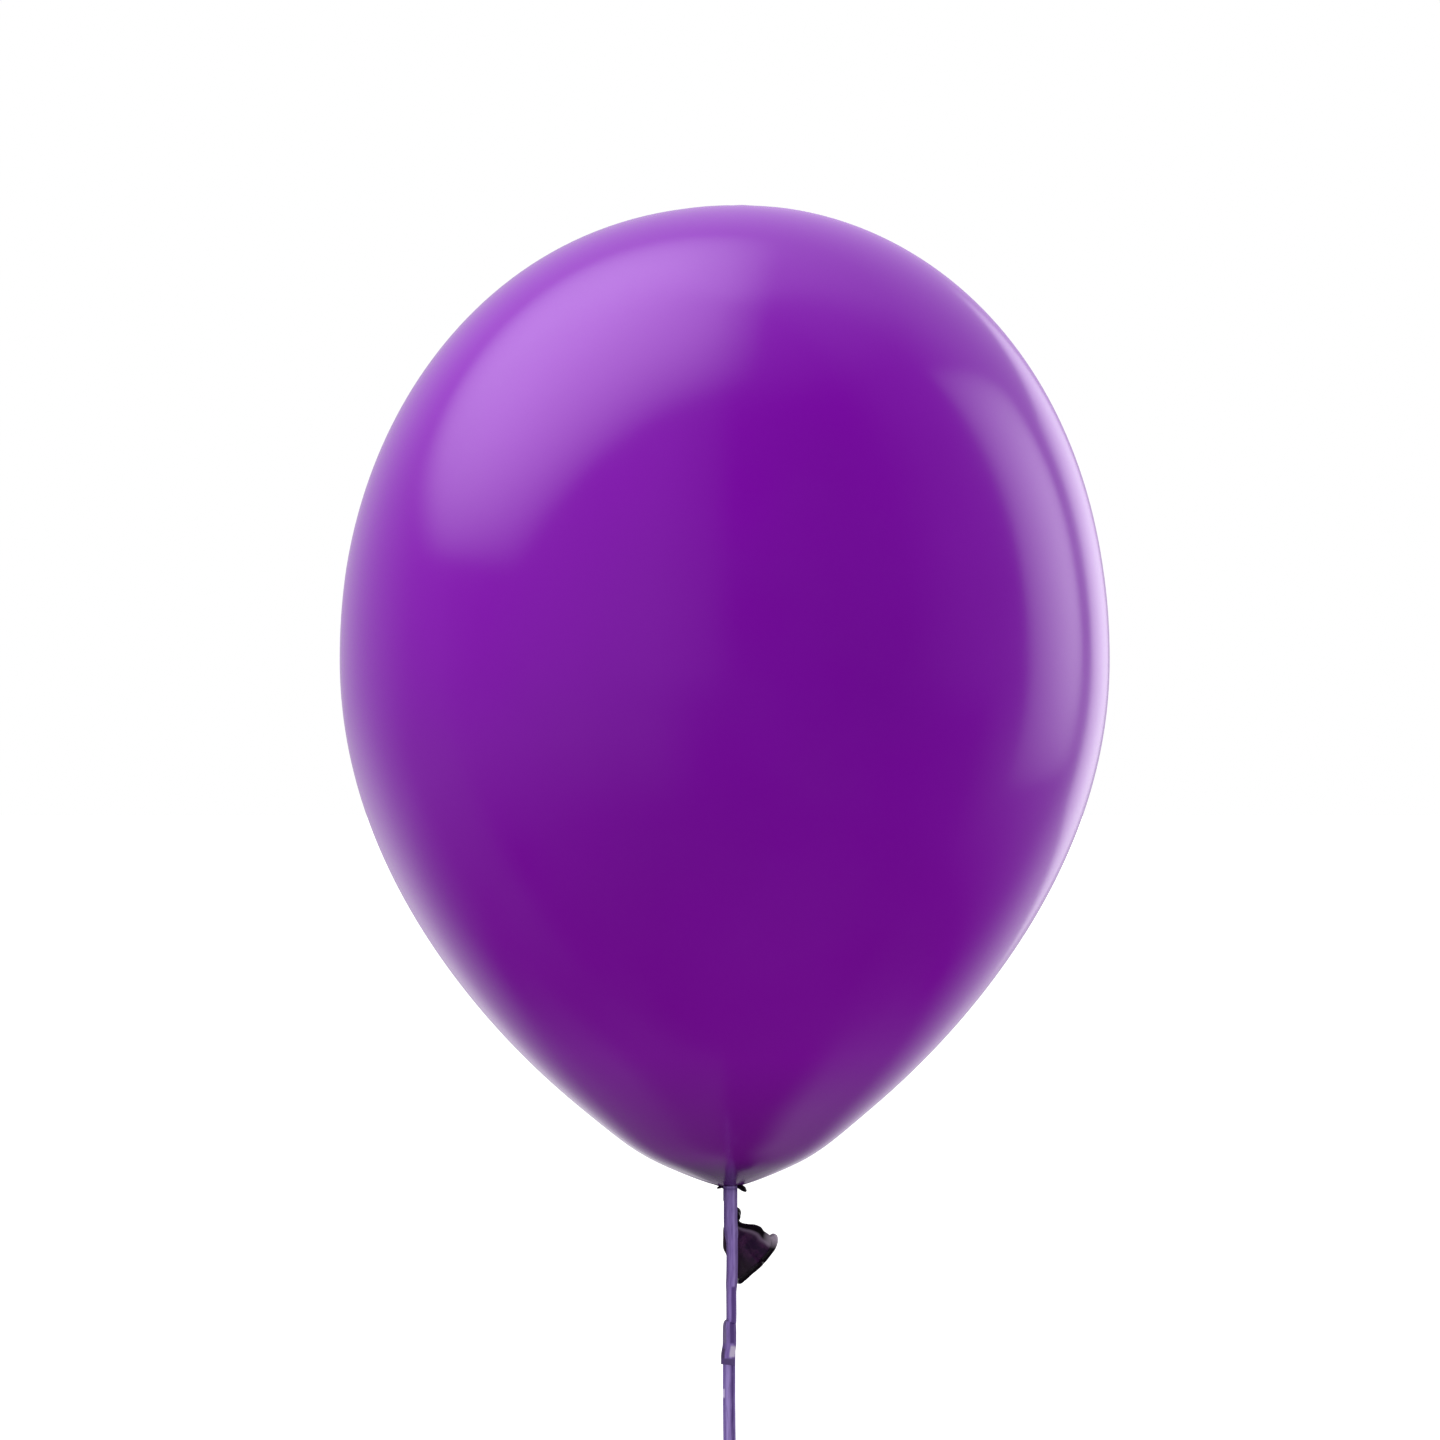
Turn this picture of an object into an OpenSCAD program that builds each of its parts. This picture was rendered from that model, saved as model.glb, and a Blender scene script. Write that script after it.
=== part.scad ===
// Helium-filled latex balloon on a curling ribbon.
// Origin: where the ribbon grips the neck. +Z runs up through the crown.

/* [Inflated bulb] */
// Widest diameter of the bulb, mm
bulb_d = 280; // [260:1:300]
// Height of the crown above the widest circle, mm
crown_h = 165.3; // [150:0.1:180]
// Depth of the neck below the widest circle, mm
lower_h = 192; // [175:1:210]
// Extra fullness of the skin just above the neck, mm
neck_full = 2; // [0:0.5:3]
// Thickness of the latex wall as a solid, mm
wall = 0.6; // [0.5:0.1:1]

/* [Neck and knot] */
// Diameter of the gathered neck under the ribbon, mm
stem_d = 3.6; // [3:0.1:4]
// Diameter of the knot tied in the latex, mm
knot_d = 6.8; // [6.4:0.1:7.2]

/* [Neck tail and mouth] */
// Thickness of the flattened neck tail, mm
tail_t = 2.4; // [1.6:0.1:3]
// Lean of the tail away from straight down, degrees
tail_lean = 31; // [20:1:40]
// Length of the tail from the knot's centre to the mouth, mm
tail_len = 20; // [16:0.5:22]
// Flattened width of the mouth, mm
mouth_w = 20.5; // [18:0.5:22]
// Depth of the mouth across its rolled edges, mm
mouth_t = 4.4; // [3.6:0.1:5]
// Diameter of the rolled edge round the mouth, mm
bead_d = 1.8; // [1.4:0.1:2]

/* [Ribbon] */
// Width of the ribbon, mm
ribbon_w = 5; // [4:0.5:6]
// Thickness of the ribbon as a solid, mm
ribbon_t = 0.8; // [0.6:0.1:0.8]
// Inside diameter of the hand loop, mm
loop_d = 24; // [20:1:30]
// Length of the cut end beside the loop's knot, mm
cut_end = 11; // [6:1:14]

/* [Hidden] */

latex_colour = "#70109a";
thick_latex_colour = "#3c1450";
ribbon_colour = "#8e78b8";

gap = 0.3;              // clearance between pieces that move past each other

// Bulb outline: a fuller-than-round crown over a tapering lower half
crown_power = 2.09;
crown_steps = 36;
lower_steps = 44;
throat_u = 0.99;        // share of lower_h at which the bulb ends and the stem's flare begins
full_z = 11.5;          // height of the extra fullness, and how far it reaches down and up
full_down = 6.5;
full_up = 10;

// Heights down the neck, from the bulb to the knot
stem_r = stem_d / 2;
flare_end_z = -1.6;
wrap_top_z = -1.8;
wrap_low_z = -5.2;
stem_ball_z = -6.3;     // centre of the stem's rounded end, where the neck bends
knot_z = -10.4;         // centre of the knot, where the tail flops
knot_r = knot_d / 2;

// Tie in front of the neck
wrap_bulge = 0.3;
wrap_r = 3.1;
hitch_t = 0.9;
hitch_y = -(wrap_r + gap + hitch_t / 2);
hitch_z = -3.2;
hitch_r = 2.9;

// Ribbon routes, [x, y, z] down the middle of the strip
ribbon_route = [
    [0.35, -5.1, -1.6], [0.35, -5.1, -6], [0.35, -5.1, -12], [0.6, -5.1, -16],
    [0.9, -5.1, -20], [0.9, -5.1, -26], [0.8, -5.1, -32], [0.6, -5.1, -38],
    [0.6, -5.1, -46], [0.3, -5.1, -52], [-0.1, -5.1, -58], [-0.2, -5.1, -64],
    [-0.2, -5.1, -70], [-0.2, -5.1, -76], [-0.15, -5.1, -82], [-0.1, -5.1, -88],
    [0, -5.1, -95], [0, -5.1, -102.5]
];
short_route = [
    [0.35, -6.1, -2], [0.35, -6.1, -12], [0.6, -6.1, -16], [0.9, -6.1, -20],
    [0.9, -6.1, -26], [0.8, -6.1, -32], [0.6, -6.1, -38], [0.6, -6.1, -47.4],
    [-0.05, -6.1, -49.2], [-0.05, -6.2, -54], [-0.1, -6.5, -57], [-0.6, -7.6, -60],
    [-0.65, -8.3, -62], [-0.65, -7.9, -63.9]
];
short_t = 0.6;

// Hand loop, below its knot
loop_knot_r = 2.8;
loop_knot_at = [0, -5.1, -104.5];
loop_r = loop_d / 2 + ribbon_t;
loop_drop = loop_knot_r + gap + loop_r;

// ---- outlines ----

function flip(points) = [for (i = [len(points) - 1 : -1 : 0]) points[i]];

// Point at t on a cubic curve with the four controls c
function cubic(c, t) =
    pow(1 - t, 3) * c[0] + 3 * pow(1 - t, 2) * t * c[1]
    + 3 * (1 - t) * pow(t, 2) * c[2] + pow(t, 3) * c[3];

// Radius of the crown at angle a above the widest circle, and its height
function crown_point(r, h, a) =
    [r * pow(cos(a), 2 / crown_power), lower_h + h * pow(sin(a), 2 / crown_power)];

// Point of the lower half at share u of the way down to the neck
function lower_point(r, h, u) =
    let (z = lower_h - h * u, reach = z > full_z ? full_up : full_down)
    [r * pow(1 - u * u, 0.8 - 0.07 * pow(u, 4)) + neck_full * exp(-pow((z - full_z) / reach, 2)), z];

// From the crown down to the throat, with both half heights and the radius less inset
function bulb_outline(inset) = concat(
    [for (i = [crown_steps : -1 : 1])
        crown_point(bulb_d / 2 - inset, crown_h - inset, 90 * i / crown_steps)],
    [for (i = [0 : lower_steps])
        lower_point(bulb_d / 2 - inset, lower_h - inset,
                    throat_u * sin(90 * i / lower_steps))]
);

throat_out = lower_point(bulb_d / 2, lower_h, throat_u);
throat_in = lower_point(bulb_d / 2 - wall, lower_h - wall, throat_u);

flare = [
    throat_out, [5.5, 1.1], [stem_r, 0.5], [stem_r, flare_end_z]
];

// ---- shared shapes ----

// Flat strip swept along a route: eight-sided rings, each in a level plane
module strip(route, width, thickness) {
    corner = 0.25 * thickness;
    ring = [
        [width / 2, corner], [width / 2 - corner, thickness / 2],
        [corner - width / 2, thickness / 2], [-width / 2, corner],
        [-width / 2, -corner], [corner - width / 2, -thickness / 2],
        [width / 2 - corner, -thickness / 2], [width / 2, -corner]
    ];
    sides = len(ring);
    last = len(route) - 1;
    points = [for (p = route) for (q = ring) [p[0] + q[0], p[1] + q[1], p[2]]];
    walls = [for (i = [0 : last - 1]) for (k = [0 : sides - 1])
        let (a = i * sides + k, b = i * sides + (k + 1) % sides)
        [a, b, b + sides, a + sides]];
    caps = [
        [for (k = [sides - 1 : -1 : 0]) k],
        [for (k = [0 : sides - 1]) last * sides + k]
    ];
    polyhedron(points, concat(walls, caps));
}

// Half of a round bead bent round the end of the flattened mouth
module bead_end(angle) {
    rotate([0, 0, angle])
        rotate_extrude(angle = 180)
            translate([(mouth_t - bead_d) / 2, 0])
                circle(d = bead_d, $fn = 32);
}

// Turns a child from hanging straight down at the knot to the tail's lean
module leaning_tail() {
    translate([0, 0, knot_z])
        rotate([0, -tail_lean, 0])
            children();
}

// ---- latex ----

module envelope() {
    color(latex_colour)
        rotate_extrude($fn = 128)
            polygon(concat(
                [[0, lower_h + crown_h]], bulb_outline(0),
                flip(bulb_outline(wall)), [[0, lower_h + crown_h - wall]]
            ));
}

module neck_stem() {
    color(latex_colour)
        rotate_extrude($fn = 64)
            polygon(concat(
                [[0, throat_in[1]], throat_in],
                [for (i = [0 : 8]) cubic(flare, i / 8)],
                [for (a = [0 : 15 : 75]) [stem_r * cos(a), stem_ball_z - stem_r * sin(a)]],
                [[0, stem_ball_z - stem_r]]
            ));
}

module neck_knot() {
    color(thick_latex_colour)
        difference() {
            translate([0, 0, knot_z]) sphere(r = knot_r, $fn = 48);
            translate([0, 0, stem_ball_z]) sphere(r = stem_r + gap, $fn = 48);
        }
}

module neck_tail() {
    mouth_stop = tail_len - bead_d / 2 - 0.1;
    root_w = 4.4;
    color(thick_latex_colour)
        leaning_tail()
            difference() {
                rotate([90, 0, 0])
                    linear_extrude(tail_t, center = true)
                        polygon([
                            [-root_w / 2, 0], [root_w / 2, 0],
                            [mouth_w * 0.36, -tail_len * 0.5],
                            [mouth_w / 2, -mouth_stop],
                            [-mouth_w / 2, -mouth_stop],
                            [-mouth_w * 0.28, -tail_len * 0.5]
                        ]);
                sphere(r = knot_r + gap, $fn = 48);
            }
}

module mouth_rim() {
    run = mouth_w - mouth_t;
    color(thick_latex_colour)
        leaning_tail()
            translate([0, 0, -tail_len]) {
                for (side = [-1, 1]) {
                    translate([-run / 2, side * (mouth_t - bead_d) / 2, 0])
                        rotate([0, 90, 0]) cylinder(h = run, d = bead_d, $fn = 32);
                    translate([side * run / 2, 0, 0]) bead_end(-side * 90);
                }
            }
}

// ---- ribbon ----

// Two turns of gathered ribbon round the stem
module ribbon_wrap() {
    turn = (wrap_top_z - wrap_low_z) / 2;
    core_r = stem_r + 0.15;
    color(ribbon_colour)
        rotate_extrude($fn = 64)
            polygon(concat(
                [[core_r, wrap_low_z]],
                [for (k = [0 : 1]) for (a = [0 : 30 : 180])
                    [wrap_r - wrap_bulge + wrap_bulge * sin(a),
                     wrap_low_z + turn * (k + (1 - cos(a)) / 2 * 0.98)]],
                [[core_r, wrap_top_z]]
            ));
}

// Flat hitch in front of the wrap, which the long run hangs from
module ribbon_hitch() {
    color(ribbon_colour)
        translate([0, hitch_y, hitch_z])
            intersection() {
                rotate([90, 0, 0]) cylinder(h = hitch_t, r = hitch_r, center = true, $fn = 64);
                cube([ribbon_w + 0.4, 2 * hitch_t, 4.4], center = true);
            }
}

module ribbon() {
    color(ribbon_colour) strip(ribbon_route, ribbon_w, ribbon_t);
}

module ribbon_short_end() {
    color(ribbon_colour) strip(short_route, ribbon_w, short_t);
}

module loop_knot() {
    color(ribbon_colour) translate(loop_knot_at) sphere(r = loop_knot_r, $fn = 48);
}

module hand_loop() {
    color(ribbon_colour)
        translate(loop_knot_at - [0, 0, loop_drop])
            rotate([0, 90, 0])
                difference() {
                    cylinder(h = ribbon_w, r = loop_r, center = true, $fn = 96);
                    cylinder(h = ribbon_w + 2, d = loop_d, center = true, $fn = 96);
                }
}

// The ribbon's own cut end, standing out sideways from the loop's knot
module loop_cut_end() {
    color(ribbon_colour)
        translate(loop_knot_at + [loop_knot_r + 0.1, 0, 0])
            translate([0, -ribbon_t / 2, -ribbon_w / 2])
                cube([cut_end, ribbon_t, ribbon_w]);
}

envelope();
neck_stem();
neck_knot();
neck_tail();
mouth_rim();
ribbon_wrap();
ribbon_hitch();
ribbon();
ribbon_short_end();
loop_knot();
hand_loop();
loop_cut_end();
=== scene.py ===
"""Looks of the latex balloon: skin, tied neck, flattened tail and ribbon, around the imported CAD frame."""
import math

import bmesh
import bpy
import numpy as np
from mathutils import Matrix, Vector


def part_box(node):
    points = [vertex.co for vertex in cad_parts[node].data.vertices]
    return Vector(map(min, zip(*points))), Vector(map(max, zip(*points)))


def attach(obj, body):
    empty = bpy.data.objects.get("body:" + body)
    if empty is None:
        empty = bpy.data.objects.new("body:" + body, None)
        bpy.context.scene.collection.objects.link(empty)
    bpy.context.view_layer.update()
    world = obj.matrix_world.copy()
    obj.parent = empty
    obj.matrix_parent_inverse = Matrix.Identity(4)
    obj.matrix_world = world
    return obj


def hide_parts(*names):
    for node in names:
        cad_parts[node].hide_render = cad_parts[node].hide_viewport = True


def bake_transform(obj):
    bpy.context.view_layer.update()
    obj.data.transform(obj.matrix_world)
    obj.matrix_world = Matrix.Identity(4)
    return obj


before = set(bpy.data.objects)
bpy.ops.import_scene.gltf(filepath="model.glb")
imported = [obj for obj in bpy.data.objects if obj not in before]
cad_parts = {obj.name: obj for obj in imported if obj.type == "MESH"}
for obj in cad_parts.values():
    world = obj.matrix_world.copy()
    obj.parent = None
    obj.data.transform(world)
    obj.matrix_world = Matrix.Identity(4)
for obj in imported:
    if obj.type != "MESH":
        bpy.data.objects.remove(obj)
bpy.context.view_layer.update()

MM = 0.001

# ---------------------------------------------------------------- sizes, in metres

bulb_low, bulb_high = (Vector(c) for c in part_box("envelope"))
BULB_R = (bulb_high.x - bulb_low.x) / 2
CROWN_Z = bulb_high.z
WIDEST_Z = 0.5374 * CROWN_Z             # height of the widest circle above the tie
CROWN_POWER = 2.09                      # 2 is a round crown, more is fuller
THROAT_SHARE = 0.99                     # where the lower curve ends and the flare into the neck starts
NECK_FULL = 2 * MM                      # extra fullness just above the neck
FULL_Z = 11.5 * MM                      # its height, and how far it reaches down and up
FULL_DOWN = 6.5 * MM
FULL_UP = 10 * MM
KINKS_Z = 22 * MM                       # above this height the outline's kinks are smoothed away,
KINKS_REACH = 20 * MM                   # fully so after this reach
LEAN_LOW = 1.8 * MM                     # how far the bulb's middle stands to the left of the neck,
LEAN_LOW_REACH = 27 * MM                # and the height in which it gets there
LEAN_Z = 225 * MM                       # from this height the crown leans back to the right,
LEAN_HIGH = 2.7 * MM                    # by this much over the crown
LEAN_TOP = 2 * MM                       # and by this much more at its very top

knot_low, knot_high = (Vector(c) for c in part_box("neck_knot"))
KNOT_R = (knot_high.x - knot_low.x) / 2
KNOT_Z = knot_low.z + KNOT_R
STEM_R = 1.8 * MM
STEM_BALL_Z = -6.3 * MM

RIBBON_W = 5 * MM
RIBBON_T = 0.16 * MM
RIBS = 11                               # fine ribs across its width
RIB_H = 0.02 * MM

loop_low, loop_high = (Vector(c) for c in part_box("hand_loop"))
LOOP_MID = (loop_low + loop_high) / 2
LOOP_R = (loop_high.z - loop_low.z) / 2 - 0.4 * MM
LOOP_KNOT = (Vector(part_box("loop_knot")[0]) + Vector(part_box("loop_knot")[1])) / 2

# The ribbon's routes down its middle, as in part.scad, and the fold that the long run starts from
RUN_FOLD = (0.35, -5.1, -0.2)
RUN_ROUTE = [
    (0.35, -5.1, -1.6), (0.35, -5.1, -6), (0.35, -5.1, -12), (0.6, -5.1, -16),
    (0.9, -5.1, -20), (0.9, -5.1, -26), (0.8, -5.1, -32), (0.6, -5.1, -38),
    (0.6, -5.1, -46), (0.3, -5.1, -52), (-0.1, -5.1, -58), (-0.2, -5.1, -64),
    (-0.2, -5.1, -70), (-0.2, -5.1, -76), (-0.15, -5.1, -82), (-0.1, -5.1, -88),
    (0, -5.1, -95), (0, -5.1, -102.5),
]
SHORT_FOLD = (0.35, -5.35, 0.2)
SHORT_ROUTE = [
    (0.35, -6.1, -2), (0.35, -6.1, -12), (0.6, -6.1, -16), (0.9, -6.1, -20),
    (0.9, -6.1, -26), (0.8, -6.1, -32), (0.6, -6.1, -38), (0.6, -6.1, -47.4),
    (-0.05, -6.1, -49.2), (-0.05, -6.2, -54), (-0.1, -6.5, -57), (-0.6, -7.6, -60),
    (-0.65, -8.3, -62), (-0.65, -7.9, -63.9),
]
# The flat hitch: up in front of the wrap, over its top and down in front of itself
HITCH_ROUTE = [
    (0.1, -2.75, -4.8), (0.1, -2.8, -3.2), (0.1, -2.95, -1.2), (0.15, -3.5, -0.1),
    (0.2, -4.1, 0.6), (0.25, -4.7, 0.85), (0.35, -5.1, 0.4), (0.35, -5.02, -0.9),
]


def smooth_step(t):
    t = min(max(t, 0.0), 1.0)
    return t * t * (3 - 2 * t)


# ---------------------------------------------------------------- camera

VIEW_W = 525 * MM                       # width of the view at the balloon
VIEW_MID = Vector((-3.5 * MM, 0, 170.3 * MM))
CAMERA_AWAY = 1.9


def make_camera():
    camera = bpy.data.cameras.new("camera")
    camera.sensor_width = 36
    camera.lens = 36 * CAMERA_AWAY / VIEW_W
    camera.clip_start = 0.05
    camera.clip_end = 100
    o = bpy.data.objects.new("camera", camera)
    bpy.context.scene.collection.objects.link(o)
    o.location = VIEW_MID - Vector((0, CAMERA_AWAY, 0))
    o.rotation_euler = (math.pi / 2, 0, 0)
    bpy.context.scene.camera = o


make_camera()


# ---------------------------------------------------------------- mesh helpers


def new_piece(name, points, faces, uvs=None):
    """A smooth-shaded mesh object; uvs holds one (u, v) for each point."""
    mesh = bpy.data.meshes.new(name)
    mesh.from_pydata([tuple(p) for p in points], [], faces)
    mesh.polygons.foreach_set("use_smooth", [True] * len(mesh.polygons))
    if uvs is not None:
        layer = mesh.uv_layers.new(name="band")
        for loop in mesh.loops:
            layer.data[loop.index].uv = uvs[loop.vertex_index]
    mesh.update()
    o = bpy.data.objects.new(name, mesh)
    bpy.context.scene.collection.objects.link(o)
    return o


def ring_faces(rings, sides, close_ends=True, closed_loop=False):
    """Quads between rings of points, with a cap on each end."""
    faces = []
    for i in range(rings if closed_loop else rings - 1):
        j = (i + 1) % rings
        for k in range(sides):
            m = (k + 1) % sides
            faces.append((i * sides + k, i * sides + m, j * sides + m, j * sides + k))
    if close_ends and not closed_loop:
        faces.append(tuple(range(sides - 1, -1, -1)))
        faces.append(tuple((rings - 1) * sides + k for k in range(sides)))
    return faces


def spline(points, steps):
    """Catmull-Rom points through the given ones, with steps to each gap."""
    p = [Vector(q) for q in points]
    p = [2 * p[0] - p[1]] + p + [2 * p[-1] - p[-2]]
    out = []
    for i in range(1, len(p) - 2):
        a, b, c, d = p[i - 1 : i + 3]
        for k in range(steps):
            t = k / steps
            out.append(
                0.5 * (2 * b + (c - a) * t + (2 * a - 5 * b + 4 * c - d) * t ** 2
                       + (3 * b - a - 3 * c + d) * t ** 3)
            )
    out.append(p[-2])
    return out


def tangents(path, closed=False):
    n = len(path)
    if closed:
        return [(path[(i + 1) % n] - path[i - 1]).normalized() for i in range(n)]
    return [(path[min(i + 1, n - 1)] - path[max(i - 1, 0)]).normalized() for i in range(n)]


def closed_tube(name, path, radii, sides):
    """A round tube along a closed path, with its radius at each point."""
    points = []
    ways = tangents(path, closed=True)
    side = ways[0].orthogonal().normalized()
    for p, way, r in zip(path, ways, radii):
        side = (side - side.dot(way) * way).normalized()
        up = way.cross(side)
        for k in range(sides):
            a = 2 * math.pi * k / sides
            points.append(p + r * (math.cos(a) * side + math.sin(a) * up))
    return new_piece(name, points, ring_faces(len(path), sides, closed_loop=True))


def band(name, path, across, width=RIBBON_W, thickness=RIBBON_T, camber=0.0, ribs=0.0, cells=24,
         slant=0.0, gathered=(0, 0)):
    """A flat ribbon along path. across gives the width's direction at each point, camber how far
    its middle stands proud, ribs the height of its ribs, slant how much the last end is cut askew,
    and gathered the lengths at its first and last end over which it widens from a knot."""
    points, uvs = [], []
    run = 0.0
    n = len(path)
    whole = sum((b - a).length for a, b in zip(path, path[1:]))
    for i, (p, way) in enumerate(zip(path, tangents(path))):
        if i:
            run += (p - path[i - 1]).length
        side = across[i]
        side = (side - side.dot(way) * way).normalized()
        front = way.cross(side).normalized()
        cut = slant * smooth_step((i - n + 6) / 5)
        wide = width
        for reach, away in zip(gathered, (run, whole - run)):
            if reach:
                wide *= 0.36 + 0.64 * smooth_step(away / reach)
        row, row_uv = [], []
        for face in (1, -1):
            for c in range(cells + 1):
                share = c / cells if face == 1 else 1 - c / cells
                s = 2 * share - 1
                bulge = camber * (1 - s * s) + ribs * math.cos(share * RIBS * 2 * math.pi)
                row.append(p + side * s * wide / 2 + front * (bulge + face * thickness / 2)
                           + way * cut * s)
                row_uv.append((share, run / RIBBON_W))
        points += row
        uvs += row_uv
    return new_piece(name, points, ring_faces(n, 2 * (cells + 1)), uvs)


# ---------------------------------------------------------------- balloon skin


def cubic(controls, t):
    a, b, c, d = controls
    return ((1 - t) ** 3 * a + 3 * (1 - t) ** 2 * t * b + 3 * (1 - t) * t ** 2 * c + t ** 3 * d)


def bulb_outline():
    """(r, z) from the crown, down the bulb and the flare, to the stem's rounded end."""
    pts = []
    for a in np.linspace(math.pi / 2, 0, 240):
        pts.append((BULB_R * max(math.cos(a), 0) ** (2 / CROWN_POWER),
                    WIDEST_Z + (CROWN_Z - WIDEST_Z) * math.sin(a) ** (2 / CROWN_POWER)))
    for b in np.linspace(0, math.pi / 2, 300)[1:]:
        u = THROAT_SHARE * math.sin(b)
        z = WIDEST_Z * (1 - u)
        reach = FULL_UP if z > FULL_Z else FULL_DOWN
        full = NECK_FULL * math.exp(-((z - FULL_Z) / reach) ** 2)
        pts.append((BULB_R * (1 - u * u) ** (0.8 - 0.07 * u ** 4) + full, z))
    flare = [Vector(pts[-1]), Vector((5.5, 1.1)) * MM, Vector((STEM_R, 0.5 * MM)),
             Vector((STEM_R, -1.6 * MM))]
    pts += [tuple(cubic(flare, t)) for t in np.linspace(0, 1, 24)[1:]]
    pts += [(STEM_R, z) for z in np.linspace(-1.8 * MM, STEM_BALL_Z, 10)]
    pts += [(STEM_R * math.cos(a), STEM_BALL_Z - STEM_R * math.sin(a))
            for a in np.linspace(0, math.pi / 2, 8)[1:]]
    return np.array(pts)


def evened(outline, rows):
    """The outline at rows places, closer together near the neck, with its kinks in curvature
    smoothed away on the bulb."""
    length = np.concatenate([[0], np.cumsum(np.linalg.norm(np.diff(outline, axis=0), axis=1))])
    fine = np.linspace(0, length[-1], 2400)
    dense = np.stack([np.interp(fine, length, outline[:, k]) for k in (0, 1)], axis=1)
    reach = 28
    weights = np.exp(-np.linspace(-2.2, 2.2, 2 * reach + 1) ** 2)
    weights /= weights.sum()
    mirrored = np.concatenate([dense[reach:0:-1] * (-1, 1), dense, dense[-reach - 1 : -1][::-1]])
    soft = np.stack([np.convolve(mirrored[:, k], weights, "valid") for k in (0, 1)], axis=1)
    share = np.clip((dense[:, 1] - KINKS_Z) / KINKS_REACH, 0, 1)[:, None]
    dense = dense * (1 - share) + soft * share
    dense[0, 0] = 0
    at = length[-1] * (1 - (np.linspace(1, 0, rows)) ** 1.5)
    return np.stack([np.interp(at, fine, dense[:, k]) for k in (0, 1)], axis=1)


def axis_x(z):
    """How far the bulb's middle stands to +X at height z: the bulb leans a little."""
    low = -LEAN_LOW * (1 - math.exp(-max(z, 0) / LEAN_LOW_REACH))
    share = max((z - LEAN_Z) / (CROWN_Z - LEAN_Z), 0)
    return low + LEAN_HIGH * share ** 1.3 + LEAN_TOP * share ** 20


PLEAT_DEPTH = 0.36 * MM                 # depth of the gathers at the neck, and how far out they fade
PLEAT_REACH = 11 * MM


def pleats(a, r):
    """Radial folds, as a share from -1 to 1, where the skin gathers into the neck."""
    return (0.5 * math.cos(9 * a + 0.7 * math.sin(2 * a)) + 0.3 * math.cos(14 * a + 1.3)
            + 0.2 * math.cos(5 * a + 2.1 + 0.02 * r / MM))


def make_skin():
    """The inflated bulb, its flare and the stem inside the ribbon, in one closed skin."""
    rows, columns = 170, 192
    outline = evened(bulb_outline(), rows)
    points = [Vector((axis_x(outline[0, 1]), 0, outline[0, 1]))]
    for i in range(1, rows - 1):
        r, z = outline[i]
        run = outline[i + 1] - outline[i - 1]
        out_r, out_z = -run[1] / math.hypot(*run), run[0] / math.hypot(*run)
        depth = PLEAT_DEPTH * smooth_step(r / (3 * MM)) * math.exp(-r / PLEAT_REACH)
        if r < STEM_R * 1.01:
            depth += 0.05 * r
        for k in range(columns):
            a = 2 * math.pi * k / columns
            fold = depth * pleats(a, r)
            wide = r + fold * out_r
            points.append(Vector((axis_x(z) + wide * math.cos(a), wide * math.sin(a), z + fold * out_z)))
    points.append(Vector((0, 0, outline[-1, 1])))
    last = len(points) - 1
    rings = rows - 2
    faces = [(0, 1 + k, 1 + (k + 1) % columns) for k in range(columns)]
    faces += [tuple(1 + i for i in f) for f in ring_faces(rings, columns, close_ends=False)]
    base = 1 + (rings - 1) * columns
    faces += [(last, base + (k + 1) % columns, base + k) for k in range(columns)]
    o = new_piece("balloon_skin", points, faces)
    fix_normals(o)
    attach(o, "balloon")
    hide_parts("envelope", "neck_stem")
    return o


def fix_normals(o):
    """Points every face outwards."""
    work = bmesh.new()
    work.from_mesh(o.data)
    bmesh.ops.recalc_face_normals(work, faces=work.faces)
    work.to_mesh(o.data)
    work.free()


# ---------------------------------------------------------------- knot and tail


KNOT_MID = Vector((1.8 * MM, 0, KNOT_Z + 0.3 * MM))
KNOT_SIZE = 0.6 * MM                    # a third of the trefoil's reach
STRAND_R = 1.15 * MM


def make_latex_knot():
    """An overhand knot pulled tight: a fat strand along a trefoil, merged and softened."""
    turns = 96
    path, radii = [], []
    tilt = Matrix.Rotation(math.radians(74), 3, "X") @ Matrix.Rotation(math.radians(20), 3, "Z")
    for k in range(turns):
        t = 2 * math.pi * k / turns
        p = Vector((math.sin(t) + 2 * math.sin(2 * t), math.cos(t) - 2 * math.cos(2 * t),
                    -1.15 * math.sin(3 * t))) * KNOT_SIZE
        path.append(tilt @ p + KNOT_MID)
        radii.append(STRAND_R * (1 + 0.08 * math.sin(5 * t + 1)))
    o = closed_tube("latex_knot", path, radii, sides=20)
    remesh(o, 0.16 * MM, 3)
    fix_normals(o)
    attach(o, "knot")
    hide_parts("neck_knot")
    return o


def remesh(o, voxel, rounds):
    """Merges a piece's crossing parts into one closed skin, then smooths it."""
    for kind, facts in (
        ("REMESH", {"mode": "VOXEL", "voxel_size": voxel}),
        ("SMOOTH", {"factor": 0.5, "iterations": rounds}),
    ):
        m = o.modifiers.new(kind.lower(), kind)
        for key, value in facts.items():
            setattr(m, key, value)
    bpy.context.view_layer.update()
    made = bpy.data.meshes.new_from_object(o.evaluated_get(bpy.context.evaluated_depsgraph_get()))
    o.modifiers.clear()
    old = o.data
    o.data = made
    bpy.data.meshes.remove(old)
    o.data.name = o.name
    o.data.polygons.foreach_set("use_smooth", [True] * len(o.data.polygons))


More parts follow.
